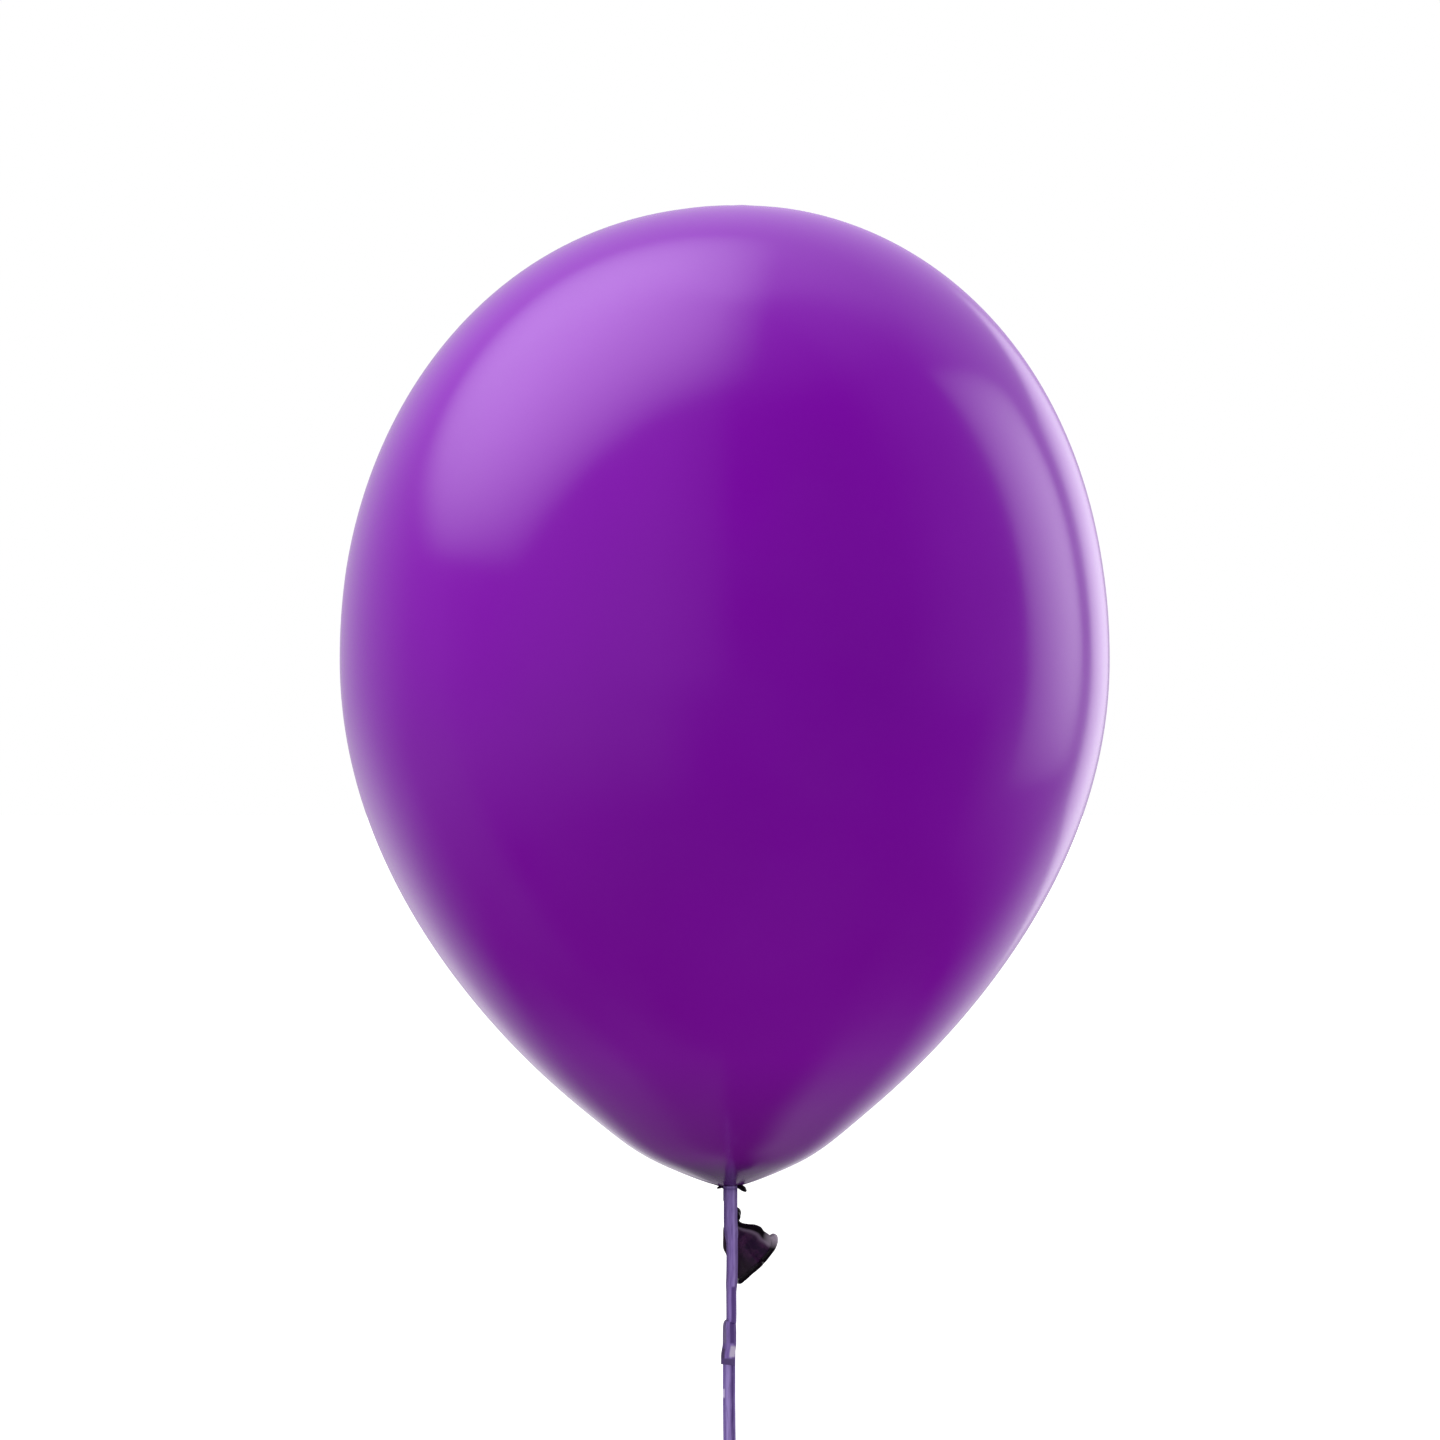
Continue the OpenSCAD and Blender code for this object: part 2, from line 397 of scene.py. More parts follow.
# The flattened neck's two edges from the knot to the mouth, (x, z) in mm
TAIL_UPPER = [(2.9, -11.5), (4.4, -12.9), (6.8, -13.4), (9.2, -13.6), (11.4, -14.5), (12.5, -15.9),
              (13.9, -16.9), (15.9, -18.3)]
TAIL_LOWER = [(-1.4, -12.4), (-2.3, -15.0), (-2.4, -18.5), (-2.35, -22.2), (-1.3, -24.6), (-0.4, -27.8),
              (1.2, -31.3), (3.5, -34.4)]
TAIL_STEPS = 10
MOUTH_BOW = 3.4 * MM                    # how far the mouth bows outwards between its two ends
TIP_HIGHLIGHT_SPOT = Vector((16.2, -0.8, -18.4)) * MM         # the mouth's upper tip, where the painted highlight on the tail is centred


def edge_line(corners):
    return spline([Vector((x, 0, z)) * MM for x, z in corners], TAIL_STEPS)


def tail_rings():
    """For each ring from the knot to the mouth: its share of the way, middle and half width."""
    upper, lower = edge_line(TAIL_UPPER), edge_line(TAIL_LOWER)
    last = len(upper) - 1
    return [(i / last, (a + b) / 2, (a - b) / 2) for i, (a, b) in enumerate(zip(upper, lower))]


def tail_depth(s, inset):
    """Half the tail's depth at a distance inset from an edge: a rolled fold, then the flat body."""
    roll = 0.95 * MM * (1 - smooth_step((s - 0.72) / 0.16))
    fold = roll * math.sqrt(max(0, 1 - (inset / max(roll, 1e-6) - 1) ** 2)) if roll > 0 else 0
    flat = (1.7 - 1.9 * s + 1.35 * s ** 3) * MM
    reach = 1.4 * MM * (1 - s) + 1.2 * MM
    body = flat * math.sqrt(1 - math.exp(-(inset / reach) ** 1.3))
    return (fold ** 3 + body ** 3) ** (1 / 3)


def tail_point(ring, a):
    """A point round a ring; the last rings bow outwards between the mouth's two ends."""
    s, middle, along = ring
    half = along.length
    t = math.cos(a)
    face = math.copysign(1, math.sin(a))
    upper = half * (1 - t)
    lower = half * (1 + t)
    deep = tail_depth(s, upper) if t > 0 else tail_depth(s + 0.5, lower)
    ease = min(1, min(upper, lower) / (1.5 * MM)) * math.sin(math.pi * min(0.12 + 0.8 * s, 1)) ** 0.7
    crease = (0.5 * math.sin(10 * t + 1 + face) + 0.3 * math.sin(19 * t + 2.4 * face + 2 * s)
              + 0.3 * math.sin(6 * s - 5 * t + face))
    pucker = math.sin(40 * s + 3 * t) * (1 - s) ** 2
    out = face * (deep + (0.26 * crease + 0.10 * pucker) * ease * MM)
    outwards = Vector((along.z, 0, -along.x)).normalized()
    bow = outwards * MOUTH_BOW * s * math.sqrt(max(1 - t * t, 0)) * ((1 + t) / 2) ** 0.8
    return middle + along * t + bow + Vector((0, out, 0))


def make_tail():
    """The neck's flattened end, open at the mouth, with a real wall."""
    sides = 112
    rings = tail_rings()
    turns = [2 * math.pi * k / sides for k in range(sides)]
    points = [tail_point(r, a) for r in rings for a in turns]
    # u tells the material how far in a point is from the rolled upper edge, 1 being 10 mm
    uvs = [(along.length * (1 - math.cos(a)) / (10 * MM), s) for s, middle, along in rings for a in turns]
    o = new_piece("neck_tail_skin", points, ring_faces(len(rings), sides, close_ends=False), uvs)
    fix_normals(o)
    m = o.modifiers.new("wall", "SOLIDIFY")
    m.thickness = 0.3 * MM
    m.offset = -1
    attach(o, "tail")
    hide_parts("neck_tail")
    return o


def make_rim():
    """The rolled bead round the mouth, a little uneven, as a rolled edge is."""
    n = 128
    mouth = tail_rings()[-1]
    turns = [2 * math.pi * k / n for k in range(n)]
    path = [tail_point(mouth, a) for a in turns]
    radii = [MM * (0.98 + 0.05 * math.sin(7 * a) + 0.03 * math.sin(13 * a)
                   + 0.45 * max(math.cos(a), 0) ** 8) for a in turns]
    o = closed_tube("rolled_rim", path, radii, sides=18)
    fix_normals(o)
    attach(o, "tail")
    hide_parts("mouth_rim")
    return o


# Folds of the neck squeezed out above the ribbon, (x, y, z, radius) in mm
PLEATS = [
    [(1.0, -1.6, 1.8, 0.7), (2.4, -2.0, 1.2, 1.0), (3.9, -2.0, 0.3, 1.0), (5.2, -1.9, -0.6, 0.95),
     (6.0, -1.8, -1.4, 0.4)],
    [(-1.2, -1.6, 0.9, 0.5), (-2.6, -2.0, 0.5, 0.6), (-3.7, -2.0, 0.1, 0.5), (-4.5, -1.9, -0.2, 0.3)],
]


def make_pleats():
    """Short fat folds, deeper than they are tall, on each side of the ribbon."""
    points, faces = [], []
    sides = 14
    for corners in PLEATS:
        path = spline([Vector(c[:3]) * MM for c in corners], 6)
        radii = [q.x * MM for q in spline([(c[3], 0, 0) for c in corners], 6)]
        rows = []
        for p, r, way in zip(path, radii, tangents(path)):
            across = way.cross(Vector((0, 1, 0))).normalized()
            deep = way.cross(across)
            for k in range(sides):
                a = 2 * math.pi * k / sides
                rows.append(p + r * math.cos(a) * across + 1.7 * r * math.sin(a) * deep)
        base = len(points)
        faces += [tuple(base + i for i in f) for f in ring_faces(len(path), sides)]
        points += rows
    o = new_piece("neck_pleats", points, faces)
    fix_normals(o)
    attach(o, "balloon")
    return o


# ---------------------------------------------------------------- ribbon


# The ribbon's turns about its own length: the height each starts at and how far down it takes, in
# mm, and its angle in degrees. It leaves the hitch with a turn of its own.
TURNS = [(-14, 6, 35), (-34, 4, 8), (-47, 8, -21)]
FIRST_TURN = 4


def roll_at(z):
    turned = (angle * smooth_step((top - z / MM) / reach) for top, reach, angle in TURNS)
    return FIRST_TURN + sum(turned)


def rolled(path, turn=lambda z: 0):
    """The ribbon's width at each point of path, turned with the run and by turn(z in mm) more."""
    return [Matrix.Rotation(math.radians(roll_at(p.z) + turn(p.z / MM)), 3, "Z") @ Vector((1, 0, 0))
            for p in path]


def scaled(route):
    return [Vector(p) * MM for p in route]


def make_run():
    """The long run, down to the loop's knot."""
    path = spline(scaled([RUN_FOLD] + RUN_ROUTE), 12)
    o = band("ribbon_run", path, rolled(path), camber=-0.35 * MM, ribs=RIB_H, gathered=(0, 4 * MM))
    fix_normals(o)
    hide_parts("ribbon")
    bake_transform(o)
    return o, path


def short_turn(z):
    """The short end comes out of the run's turn below its crease, and curls at its cut end."""
    return -4 - 15 * smooth_step((-47.5 - z) / 2) - 4 * smooth_step((-57 - z) / 3)


def make_short_end():
    """The short end, which hangs in front of the long run."""
    path = spline(scaled([SHORT_FOLD] + SHORT_ROUTE), 12)
    o = band("ribbon_short", path, rolled(path, short_turn), camber=-0.3 * MM, ribs=RIB_H,
             slant=0.4 * MM)
    fix_normals(o)
    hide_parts("ribbon_short_end")
    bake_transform(o)
    return o, path


def make_hitch():
    """The flat fold in front of the wrap."""
    path = spline(scaled(HITCH_ROUTE), 10)
    across = [Vector((1, 0, 0))] * len(path)
    o = band("ribbon_fold", path, across, width=4.9 * MM, ribs=RIB_H)
    fix_normals(o)
    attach(o, "hitch")
    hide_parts("ribbon_hitch")
    return o


# The wrap's lowest and highest ribbon, its middle radius, half its thickness, and how far it sits
# to the right
WRAP_LOW = -5.2 * MM
WRAP_HIGH = -0.9 * MM
WRAP_R = 2.1 * MM
WRAP_THICK = 0.34 * MM
WRAP_X = 0.2 * MM


def make_wrap():
    """Two turns of gathered ribbon, whose creases run round the neck."""
    rings, sides = 160, 40
    points, uvs = [], []
    for i in range(rings):
        a = 2 * math.pi * i / rings
        slope = 1.05 * math.sin(a)
        for k in range(sides):
            b = 2 * math.pi * k / sides
            up = math.sin(b)
            z = (WRAP_LOW + WRAP_HIGH) / 2 + (WRAP_HIGH - WRAP_LOW) / 2 * 0.95 * up
            crease = 0.10 * math.cos(9 * up + slope) + 0.05 * math.cos(17 * up + 2 * a)
            r = WRAP_R + (WRAP_THICK + crease * MM) * math.cos(b)
            points.append(Vector((WRAP_X + r * math.cos(a), r * math.sin(a), z)))
            uvs.append(((up + 1) / 2, a))
    o = new_piece("ribbon_turns", points, ring_faces(rings, sides, closed_loop=True), uvs)
    fix_normals(o)
    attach(o, "balloon")
    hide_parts("ribbon_wrap")
    return o


def make_loop_knot():
    """The ribbon's overhand knot above the hand loop."""
    path = []
    n = 120
    for k in range(n + 1):
        t = 2 * math.pi * k / n
        p = Vector((math.sin(t) + 2 * math.sin(2 * t), -1.1 * math.sin(3 * t),
                    math.cos(t) - 2 * math.cos(2 * t))) * 0.62 * MM
        path.append(LOOP_KNOT + p)
    fronts = [Vector((0, 1, 0)).lerp(p - LOOP_KNOT, 0.2) for p in path]
    across = [way.cross(front).normalized() for way, front in zip(tangents(path), fronts)]
    o = band("ribbon_loop_knot", path, across, width=2.2 * MM, thickness=0.5 * MM, cells=10)
    remesh(o, 0.12 * MM, 1)
    fix_normals(o)
    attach(o, "ribbon")
    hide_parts("loop_knot")
    return o


def make_hand_loop():
    """A ring of ribbon under the knot, whose two ends go into it."""
    ring = []
    for k in range(25):
        a = math.radians(-150 + 300 * k / 24)
        ring.append(LOOP_MID + Vector((0, LOOP_R * math.sin(a), -LOOP_R * math.cos(a))))
    inset = Vector((0, 0.3 * MM, 0))
    path = spline([LOOP_KNOT - inset] + ring + [LOOP_KNOT + inset], 8)
    across = [Vector((1, 0, 0))] * len(path)
    o = band("ribbon_hand_loop", path, across, camber=0.15 * MM, ribs=RIB_H,
             gathered=(7 * MM, 7 * MM))
    fix_normals(o)
    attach(o, "loop")
    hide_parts("hand_loop")
    return o


def make_cut_end():
    """The ribbon's end, which sticks out beside the knot."""
    low, high = (Vector(c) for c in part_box("loop_cut_end"))
    middle = (low + high) / 2
    start = Vector((LOOP_KNOT.x + 1 * MM, middle.y, middle.z))
    end = Vector((high.x, middle.y, middle.z))
    path = spline([start, start.lerp(end, 0.4) + Vector((0, -0.5, 0.2)) * MM,
                   end + Vector((0, -1.6, -0.6)) * MM], 12)
    o = band("ribbon_cut_end", path, [Vector((0, 0.1, 1))] * len(path), camber=0.3 * MM,
             ribs=RIB_H, slant=1.2 * MM, gathered=(4 * MM, 0))
    fix_normals(o)
    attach(o, "ribbon")
    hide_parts("loop_cut_end")
    return o


# ---------------------------------------------------------------- materials


class Nodes:
    """Short calls that add nodes to one tree and link them."""

    def __init__(self, tree):
        self.tree = tree

    def add(self, kind, **facts):
        node = self.tree.nodes.new(kind)
        for key, value in facts.items():
            setattr(node, key, value)
        return node

    def link(self, out, into):
        self.tree.links.new(out, into)

    def put(self, value, socket):
        """Links an output to the socket, or sets the socket to a colour or number."""
        if hasattr(value, "links"):
            self.link(value, socket)
        elif isinstance(value, tuple):
            socket.default_value = (*value, 1)
        else:
            socket.default_value = value

    def noise(self, vector, scale, detail=2.0, roughness=0.5):
        n = self.add("ShaderNodeTexNoise")
        n.inputs["Scale"].default_value = scale
        n.inputs["Detail"].default_value = detail
        n.inputs["Roughness"].default_value = roughness
        self.link(vector, n.inputs["Vector"])
        return n.outputs["Fac"]

    def ramp(self, value, stops):
        n = self.add("ShaderNodeValToRGB")
        elements = n.color_ramp.elements
        while len(elements) < len(stops):
            elements.new(0.5)
        for element, (at, colour) in zip(elements, stops):
            element.position = at
            element.color = (*colour, 1)
        self.link(value, n.inputs["Fac"])
        return n.outputs["Color"]

    def spread(self, value, low, high, to_low, to_high, ease="LINEAR"):
        n = self.add("ShaderNodeMapRange", interpolation_type=ease)
        for key, v in (("From Min", low), ("From Max", high), ("To Min", to_low), ("To Max", to_high)):
            n.inputs[key].default_value = v
        self.link(value, n.inputs["Value"])
        return n.outputs["Result"]

    def mix(self, share, a, b, blend="MIX"):
        n = self.add("ShaderNodeMix", data_type="RGBA", blend_type=blend)
        for value, socket in ((share, n.inputs["Factor"]), (a, n.inputs["A"]), (b, n.inputs["B"])):
            self.put(value, socket)
        return n.outputs["Result"]

    def window(self, value, low, high, soft):
        """1 between low and high, fading to 0 over soft on each side."""
        return self.maths("MINIMUM", self.spread(value, low - soft, low, 0, 1),
                          self.spread(value, high, high + soft, 1, 0))

    def maths(self, kind, a, b):
        node = self.add("ShaderNodeMath", operation=kind)
        self.put(a, node.inputs[0])
        self.put(b, node.inputs[1])
        return node.outputs[0]

    def times(self, a, b):
        return self.maths("MULTIPLY", a, b)

    def plus(self, a, b):
        return self.maths("ADD", a, b)


class Paint(Nodes):
    """The nodes of one new material."""

    def __init__(self, name):
        self.material = bpy.data.materials.new(name)
        self.material.use_nodes = True
        super().__init__(self.material.node_tree)
        self.shader = self.tree.nodes["Principled BSDF"]

    def bump(self, height, strength, distance):
        n = self.add("ShaderNodeBump")
        n.inputs["Strength"].default_value = strength
        n.inputs["Distance"].default_value = distance
        self.link(height, n.inputs["Height"])
        self.link(n.outputs["Normal"], self.shader.inputs["Normal"])


def latex_material():
    """Stretched latex: glossy and even, with painted shade that darkens it towards the neck, and duller
    where it is slack there.
    """
    m = Paint("stretched_latex")
    place = m.add("ShaderNodeTexCoord").outputs["Object"]
    xyz = m.add("ShaderNodeSeparateXYZ")
    m.link(place, xyz.inputs[0])
    tall = m.spread(xyz.outputs["Z"], -0.006, CROWN_Z, 0, 1)
    # Painted shade: the colour darkens towards the neck, standing in for the dimmer light that falls there.
    colour = m.ramp(tall, [
        (0.0, (0.016, 0.004, 0.024)), (0.018, (0.034, 0.006, 0.055)), (0.033, (0.066, 0.006, 0.110)),
        (0.052, (0.165, 0.006, 0.245)), (0.16, (0.245, 0.002, 0.405)), (0.5, (0.235, 0.0005, 0.440)),
        (1.0, (0.230, 0.0005, 0.450)),
    ])
    cloud = m.spread(m.noise(place, 9, 3), 0.35, 0.65, 0, 1)
    m.link(m.mix(cloud, m.mix(0.06, colour, (0.0, 0.0, 0.0)), colour), m.shader.inputs["Base Color"])
    gloss = m.spread(m.noise(place, 30, 2), 0.3, 0.7, 0.14, 0.17)
    slack = m.spread(xyz.outputs["Z"], 0.5 * MM, 7 * MM, 0.16, 0)
    m.link(m.plus(gloss, slack), m.shader.inputs["Roughness"])
    m.shader.inputs["IOR"].default_value = 1.5
    m.shader.inputs["Specular IOR Level"].default_value = 0.8
    m.shader.inputs["Specular Tint"].default_value = (0.85, 0.6, 1.0, 1)
    m.shader.inputs["Sheen Weight"].default_value = 0.25
    m.shader.inputs["Sheen Roughness"].default_value = 0.4
    m.shader.inputs["Sheen Tint"].default_value = (0.55, 0.04, 1.0, 1)
    m.bump(m.noise(place, 1400, 2), 0.04, 0.0002)
    return m.material


def thick_latex_material():
    """Slack latex: black where it is rolled thick, with a painted reflection band below the upper roll and
    a painted highlight at the mouth's tip.
    """
    m = Paint("thick_latex")
    place = m.add("ShaderNodeTexCoord").outputs["Object"]
    inset = m.add("ShaderNodeSeparateXYZ")
    m.link(m.add("ShaderNodeUVMap", uv_map="band").outputs["UV"], inset.inputs[0])
    patches = m.spread(m.noise(place, 300, 3, 0.6), 0.36, 0.64, 0, 1)
    body = m.mix(patches, (0.026, 0.005, 0.040), (0.070, 0.014, 0.074))
    rolled_black = (0.006, 0.002, 0.007)
    # Black along the rolled upper edge, then a lighter band under it that is a painted reflection, then the
    # dark purple body.
    roll_and_painted_reflection = m.ramp(inset.outputs["X"], [(0.18, rolled_black), (0.27, (0.170, 0.115, 0.190)),
                                       (0.42, (0.060, 0.020, 0.070))])
    inside = m.spread(inset.outputs["X"], 0.32, 0.46, 0, 1)
    lower_fold = m.spread(inset.outputs["X"], 0.95, 1.4, 0, 1)
    tone = m.mix(inside, roll_and_painted_reflection, m.mix(lower_fold, body, (0.024, 0.010, 0.026)))
    corner = m.add("ShaderNodeVectorMath", operation="DISTANCE")
    corner.inputs[1].default_value = TIP_HIGHLIGHT_SPOT
    m.link(place, corner.inputs[0])
    # Painted highlight: the tail turns paler towards the mouth's tip.
    tip_highlight = m.spread(corner.outputs["Value"], 1.2 * MM, 4.2 * MM, 1, 0)
    m.link(m.mix(tip_highlight, tone, (0.42, 0.35, 0.44)), m.shader.inputs["Base Color"])
    m.link(m.spread(m.noise(place, 500, 2), 0.3, 0.7, 0.26, 0.40), m.shader.inputs["Roughness"])
    m.shader.inputs["Specular IOR Level"].default_value = 0.3
    m.bump(m.noise(place, 2600, 3), 0.2, 0.0002)
    return m.material


# Colours across the ribbon, from its left edge to its right, on each of its two faces: the ribbon's
# lavender, with its lighter and darker stripes as painted light and shade.
OUTER_FACE_TONE_AND_SHADING = [
    (0.0, (0.30, 0.20, 0.56)), (0.17, (0.21, 0.13, 0.44)), (0.34, (0.46, 0.33, 0.79)),
    (0.52, (0.44, 0.31, 0.76)), (0.66, (0.27, 0.17, 0.52)), (0.75, (0.11, 0.05, 0.26)),
    (0.83, (0.11, 0.05, 0.26)), (0.95, (0.32, 0.22, 0.58)),
]
INNER_FACE_TONE_AND_SHADING = [
    (0.0, (0.14, 0.08, 0.28)), (0.14, (0.16, 0.09, 0.31)), (0.30, (0.29, 0.18, 0.56)),
    (0.58, (0.28, 0.17, 0.55)), (0.72, (0.40, 0.27, 0.70)), (0.86, (0.20, 0.12, 0.38)),
    (1.0, (0.21, 0.13, 0.38)),
]

# Marks laid on the ribbon: across the ribbon from and to, along it from and to (in its widths), and colour.
# The outer face's one mark is a pale streak at its left edge; the inner face's marks are painted light and
# shade.
OUTER_MARKS = [(0.0, 0.10, 14.6, 15.1, (0.75, 0.64, 0.95))]
INNER_LIGHT_AND_SHADE_MARKS = [
    # painted shade: a dark stripe along the right side
    (0.60, 0.82, 7.3, 11.3, (0.11, 0.05, 0.26)),
    # a greyer strip on the left
    (0.0, 0.22, 9.9, 11.3, (0.22, 0.16, 0.34)),
    # painted highlight: a light patch on the right where the end curls
    (0.66, 1.0, 11.6, 12.3, (0.64, 0.55, 0.75)),
    # painted shade: a dark block on the left near the end
    (0.0, 0.20, 11.9, 13.0, (0.10, 0.06, 0.17)),
    # painted shadow: a dark line across the cut end
    (0.0, 0.92, 12.56, 13.0, (0.12, 0.07, 0.24)),
]


def ribbon_material(name, face, marks):
    """Ribbon with face's colours across it, with their painted light and shade, fine ribs and streaks, and
    the marks given, mostly painted light and shade.
    """
    m = Paint(name)
    band_uv = m.add("ShaderNodeUVMap", uv_map="band").outputs["UV"]
    split = m.add("ShaderNodeSeparateXYZ")
    m.link(band_uv, split.inputs[0])
    place = m.add("ShaderNodeTexCoord").outputs["Object"]
    # Painted light and shade across the width, over the ribbon's own colour.
    edge = m.ramp(split.outputs["X"], face)
    rib = m.add("ShaderNodeTexWave", bands_direction="X")
    rib.inputs["Scale"].default_value = 3.5
    rib.inputs["Distortion"].default_value = 0.6
    m.link(band_uv, rib.inputs["Vector"])
    long_way = m.add("ShaderNodeMapping")
    long_way.inputs["Scale"].default_value = (7, 0.8, 1)
    m.link(band_uv, long_way.inputs["Vector"])
    streak = m.noise(long_way.outputs["Vector"], 1.0, 3)
    dark = m.mix(m.spread(streak, 0.48, 0.36, 0, 0.30), edge, (0.080, 0.035, 0.220))
    light = m.mix(m.spread(streak, 0.54, 0.70, 0, 0.30), dark, (0.500, 0.380, 0.820))
    ribbed = m.mix(m.spread(rib.outputs["Fac"], 0, 1, 0, 0.12), light, (0.100, 0.050, 0.260))
    # Lay the marks, mostly painted light and shade, over the colour.
    for left, right, top, bottom, colour in marks:
        across = m.window(split.outputs["X"], left, right, 0.10)
        along = m.window(split.outputs["Y"], top, bottom, 0.14)
        ribbed = m.mix(m.times(across, along), ribbed, colour)
    m.link(ribbed, m.shader.inputs["Base Color"])
    m.link(m.spread(m.noise(place, 700, 2), 0.3, 0.7, 0.30, 0.44), m.shader.inputs["Roughness"])
    m.bump(rib.outputs["Fac"], 0.25, 0.00006)
    return m.material


# ---------------------------------------------------------------- stage and light


FLOOR_Z = -420 * MM                     # well below the hand loop


def make_floor():
    size = 30.0
    o = new_piece("floor", [(-size, -size, 0), (size, -size, 0), (size, size, 0), (-size, size, 0)],
                  [(0, 1, 2, 3)])
    o.location.z = FLOOR_Z
    m = Paint("floor_paint")
    m.shader.inputs["Base Color"].default_value = (0.93, 0.93, 0.93, 1)
    m.shader.inputs["Roughness"].default_value = 0.9
    m.shader.inputs["Specular IOR Level"].default_value = 0
    m.shader.inputs["Emission Color"].default_value = (1, 1, 1, 1)
    m.shader.inputs["Emission Strength"].default_value = 0.65
    o.data.materials.append(m.material)
    o.visible_glossy = False
    o.visible_diffuse = False


def softbox(name, middle, faces, level, size, radiance, swell, mirrored=True, cut=None):
    """A rectangular light. faces is the way it shines and level its first side; swell holds, for
    each side, how quickly it dims from the hot middle to the edges (0 is even); cut rounds off one
    corner, as (way along X, way along Y, start, end). A light that isn't mirrored lights the skin
    without showing in its gloss."""
    light = bpy.data.lights.new(name, "AREA")
    light.shape = "RECTANGLE"
    light.size, light.size_y = size
    light.energy = math.pi * size[0] * size[1] * radiance
    light.use_nodes = True
    n = Nodes(light.node_tree)
    split = n.add("ShaderNodeSeparateXYZ")
    n.link(n.add("ShaderNodeNewGeometry").outputs["Parametric"], split.inputs[0])
    humps = []
    for axis, power in zip("XY", swell):
        share = split.outputs[axis]
        hump = n.times(n.times(share, n.maths("SUBTRACT", 1.0, share)), 4.0)
        humps.append(n.maths("POWER", hump, power))
    strength = n.times(*humps)
    if cut:
        x_way, y_way, start, end = cut
        towards = n.plus(n.times(split.outputs["X"], x_way), n.times(split.outputs["Y"], y_way))
        strength = n.times(strength, n.spread(towards, start, end, 1, 0, ease="SMOOTHSTEP"))
    n.link(strength, n.tree.nodes["Emission"].inputs["Strength"])
    o = bpy.data.objects.new(name, light)
    o.visible_glossy = mirrored
    bpy.context.scene.collection.objects.link(o)
    back = -Vector(faces).normalized()
    side = Vector(level)
    side = (side - side.dot(back) * back).normalized()
    turn = Matrix((side, back.cross(side), back)).transposed().to_4x4()
    o.matrix_world = Matrix.Translation(Vector(middle)) @ turn


BULB_MID = Vector((0, 0, 190 * MM))

# How bright each light is at its middle, and the even light from all round on unmirrored surfaces
KEY = 2.8
STRIP = 1.75
SIDE = 3.4
BACKDROP = 1.3
FILL = 0.87


def make_lights():
    # Overhead on the left: a wide box that reaches forward over the bulb
    over = Vector((-0.442, 0.048, 0.896)).normalized()
    along = Vector((-0.897, -0.024, -0.442))
    front = Vector((0, -0.999, 0.054))
    softbox("key", BULB_MID + 0.9 * over + 0.23 * along + 0.12 * front, -over, along,
            (1.70, 1.24), KEY, (0.9, 0.9), cut=(1, -1, 0.5, 0.85))
    # Standing on the right, its near edge level with the bulb and its far edge well behind
    across = Vector((0.91, -0.41, 0)).normalized()
    away = Vector((0.41, 0.91, 0)).normalized()
    beside = BULB_MID + 0.637 * across + 0.74 * away + Vector((0, 0, 0.25))
    softbox("strip", beside, -across, away, (0.86, 1.06), STRIP, (0.4, 0.7))
    softbox("side", beside, -across, away, (0.86, 1.06), SIDE, (0.4, 0.7), mirrored=False)
    # The lit part of the paper behind
    softbox("backdrop", (0.98, 1.5, 0.33), (0, -1, 0), (1, 0, 0), (0.90, 1.25), BACKDROP, (0.3, 0.3))


# The studio that gloss mirrors: its grey against the share of a turn, from the left, round behind
# the camera to the right, and round behind the balloon. LEVEL is level with the balloon and up, and
# the others are ever lower down, as far as straight below.
LEVEL = [
    (0.0, 0.23), (0.04, 0.19), (0.10, 0.26), (0.19, 0.28), (0.238, 0.15), (0.258, 0.0),
    (0.40, 0.01), (0.45, 0.11), (0.52, 0.18), (0.60, 0.50), (0.75, 0.65), (0.84, 0.60),
    (0.92, 0.38), (0.955, 0.25),
]
SKIRT = [
    (0.0, 0.25), (0.02, 0.23), (0.12, 0.26), (0.19, 0.20), (0.23, 0.03), (0.26, 0.0),
    (0.40, 0.0), (0.48, 0.04), (0.522, 0.28), (0.606, 0.35), (0.65, 0.72), (0.73, 0.90),
    (0.77, 1.10), (0.811, 1.0), (0.853, 0.80), (0.894, 0.48), (0.936, 0.25), (0.98, 0.28),
]
LOW = [
    (0.0, 0.08), (0.02, 0.01), (0.06, 0.06), (0.14, 0.06), (0.22, 0.0), (0.60, 0.0),
    (0.647, 0.13), (0.689, 0.27), (0.731, 0.38), (0.769, 0.19), (0.853, 0.23), (0.894, 0.05),
    (0.936, 0.04), (0.978, 0.11),
]
GROUND = [
    (0.0, 0.0), (0.50, 0.0), (0.564, 0.05), (0.606, 0.21), (0.647, 0.40), (0.675, 0.34),
    (0.70, 0.10), (0.712, 0.0), (0.742, 0.0), (0.758, 0.30), (0.80, 0.22), (0.853, 0.17),
    (0.894, 0.21), (0.936, 0.03),
]
NADIR = [(0.0, 0.03), (0.06, 0.0), (0.745, 0.0), (0.765, 0.07), (0.81, 0.10), (0.90, 0.07)]
# Each takes over from the one above between two heights on the sphere round the balloon
BELOW = [(SKIRT, -0.04, -0.22), (LOW, -0.30, -0.60), (GROUND, -0.64, -0.84), (NADIR, -0.86, -0.93)]
OVERHEAD = [(0.90, 0.0), (1.0, 0.3)]    # added near the top, 1 being straight up


def greys(stops):
    return [(at, (grey, grey, grey)) for at, grey in stops]


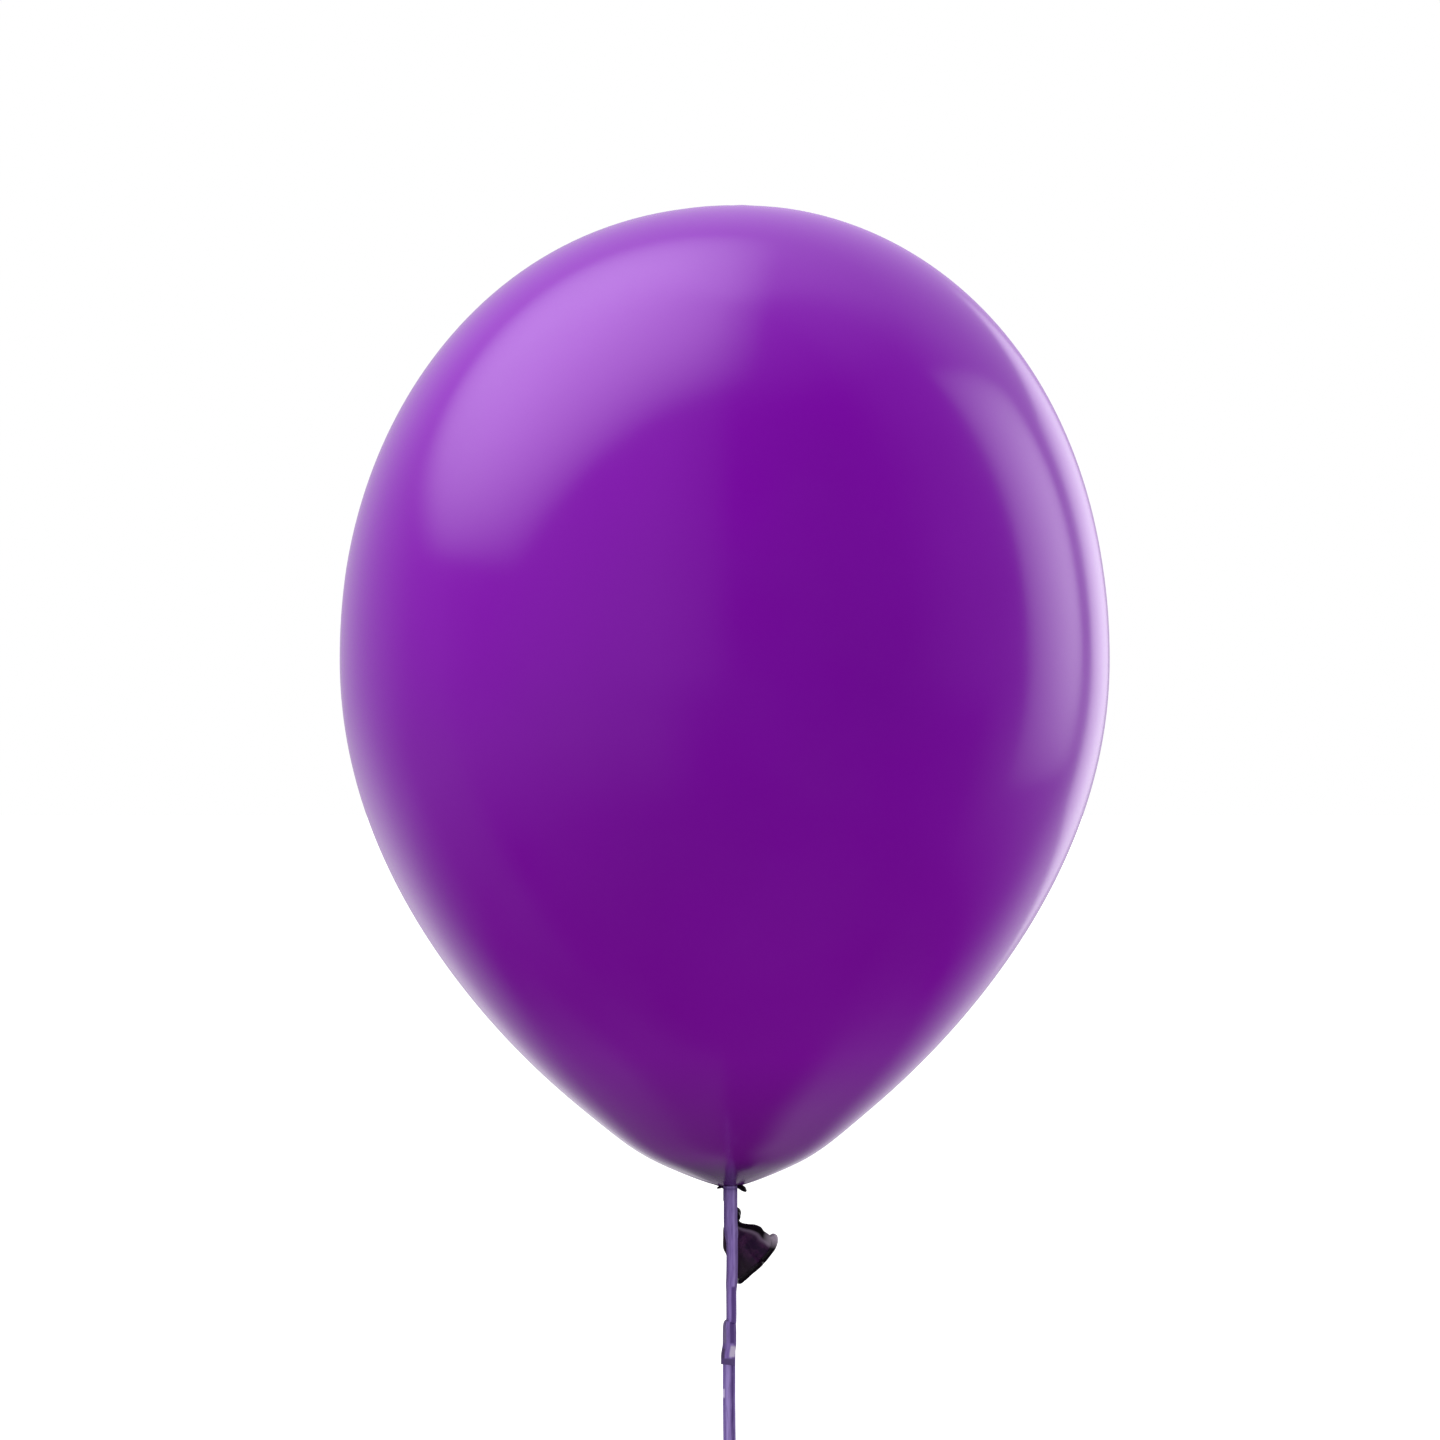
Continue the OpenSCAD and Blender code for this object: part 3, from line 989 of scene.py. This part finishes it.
def mirrored_studio(n):
    """The grey that gloss mirrors from each direction."""
    way = n.add("ShaderNodeTexCoord").outputs["Generated"]
    split = n.add("ShaderNodeSeparateXYZ")
    n.link(way, split.inputs[0])
    height = split.outputs["Z"]
    turn = n.add("ShaderNodeTexGradient", gradient_type="RADIAL")
    n.link(way, turn.inputs["Vector"])
    around = n.ramp(turn.outputs["Fac"], greys(LEVEL))
    for stops, start, end in BELOW:
        below = n.ramp(turn.outputs["Fac"], greys(stops))
        around = n.mix(n.spread(height, start, end, 0, 1), around, below)
    top = n.ramp(n.spread(height, -1, 1, 0, 1), greys(OVERHEAD))
    return n.mix(1.0, around, top, blend="ADD")


def make_world():
    """White all round, but what the skin mirrors is a dim studio, black in front on the right."""
    world = bpy.data.worlds.new("studio")
    bpy.context.scene.world = world
    world.use_nodes = True
    n = Nodes(world.node_tree)
    white = n.tree.nodes["Background"]
    white.inputs["Color"].default_value = (1, 1, 1, 1)
    white.inputs["Strength"].default_value = 1.0
    fill = n.add("ShaderNodeBackground")
    fill.inputs["Strength"].default_value = FILL
    dim = n.add("ShaderNodeBackground")
    n.link(mirrored_studio(n), dim.inputs["Color"])
    path = n.add("ShaderNodeLightPath")
    shown = white.outputs[0]
    for is_ray, seen in (("Is Diffuse Ray", fill), ("Is Glossy Ray", dim)):
        pick = n.add("ShaderNodeMixShader")
        n.link(path.outputs[is_ray], pick.inputs["Fac"])
        n.link(shown, pick.inputs[1])
        n.link(seen.outputs[0], pick.inputs[2])
        shown = pick.outputs[0]
    n.link(shown, n.tree.nodes["World Output"].inputs["Surface"])


# ---------------------------------------------------------------- the scene

bpy.context.scene.view_settings.view_transform = "Standard"

run, run_path = make_run()
short, short_path = make_short_end()
hitch = make_hitch()
turns = make_wrap()
loop_knot = make_loop_knot()
loop = make_hand_loop()
cut_end = make_cut_end()
skin = make_skin()
latex_knot = make_latex_knot()
tail = make_tail()
rim = make_rim()
pleat_folds = make_pleats()

latex = latex_material()
thick = thick_latex_material()
outer_ribbon = ribbon_material("ribbon_outer_face", OUTER_FACE_TONE_AND_SHADING, OUTER_MARKS)
inner_ribbon = ribbon_material("ribbon_inner_face", INNER_FACE_TONE_AND_SHADING, INNER_LIGHT_AND_SHADE_MARKS)
skin.data.materials.append(latex)
for piece in (latex_knot, tail, rim, pleat_folds):
    piece.data.materials.append(thick)
for piece in (run, turns, loop_knot, loop, cut_end):
    piece.data.materials.append(outer_ribbon)
for piece in (short, hitch):
    piece.data.materials.append(inner_ribbon)

make_floor()
make_lights()
make_world()
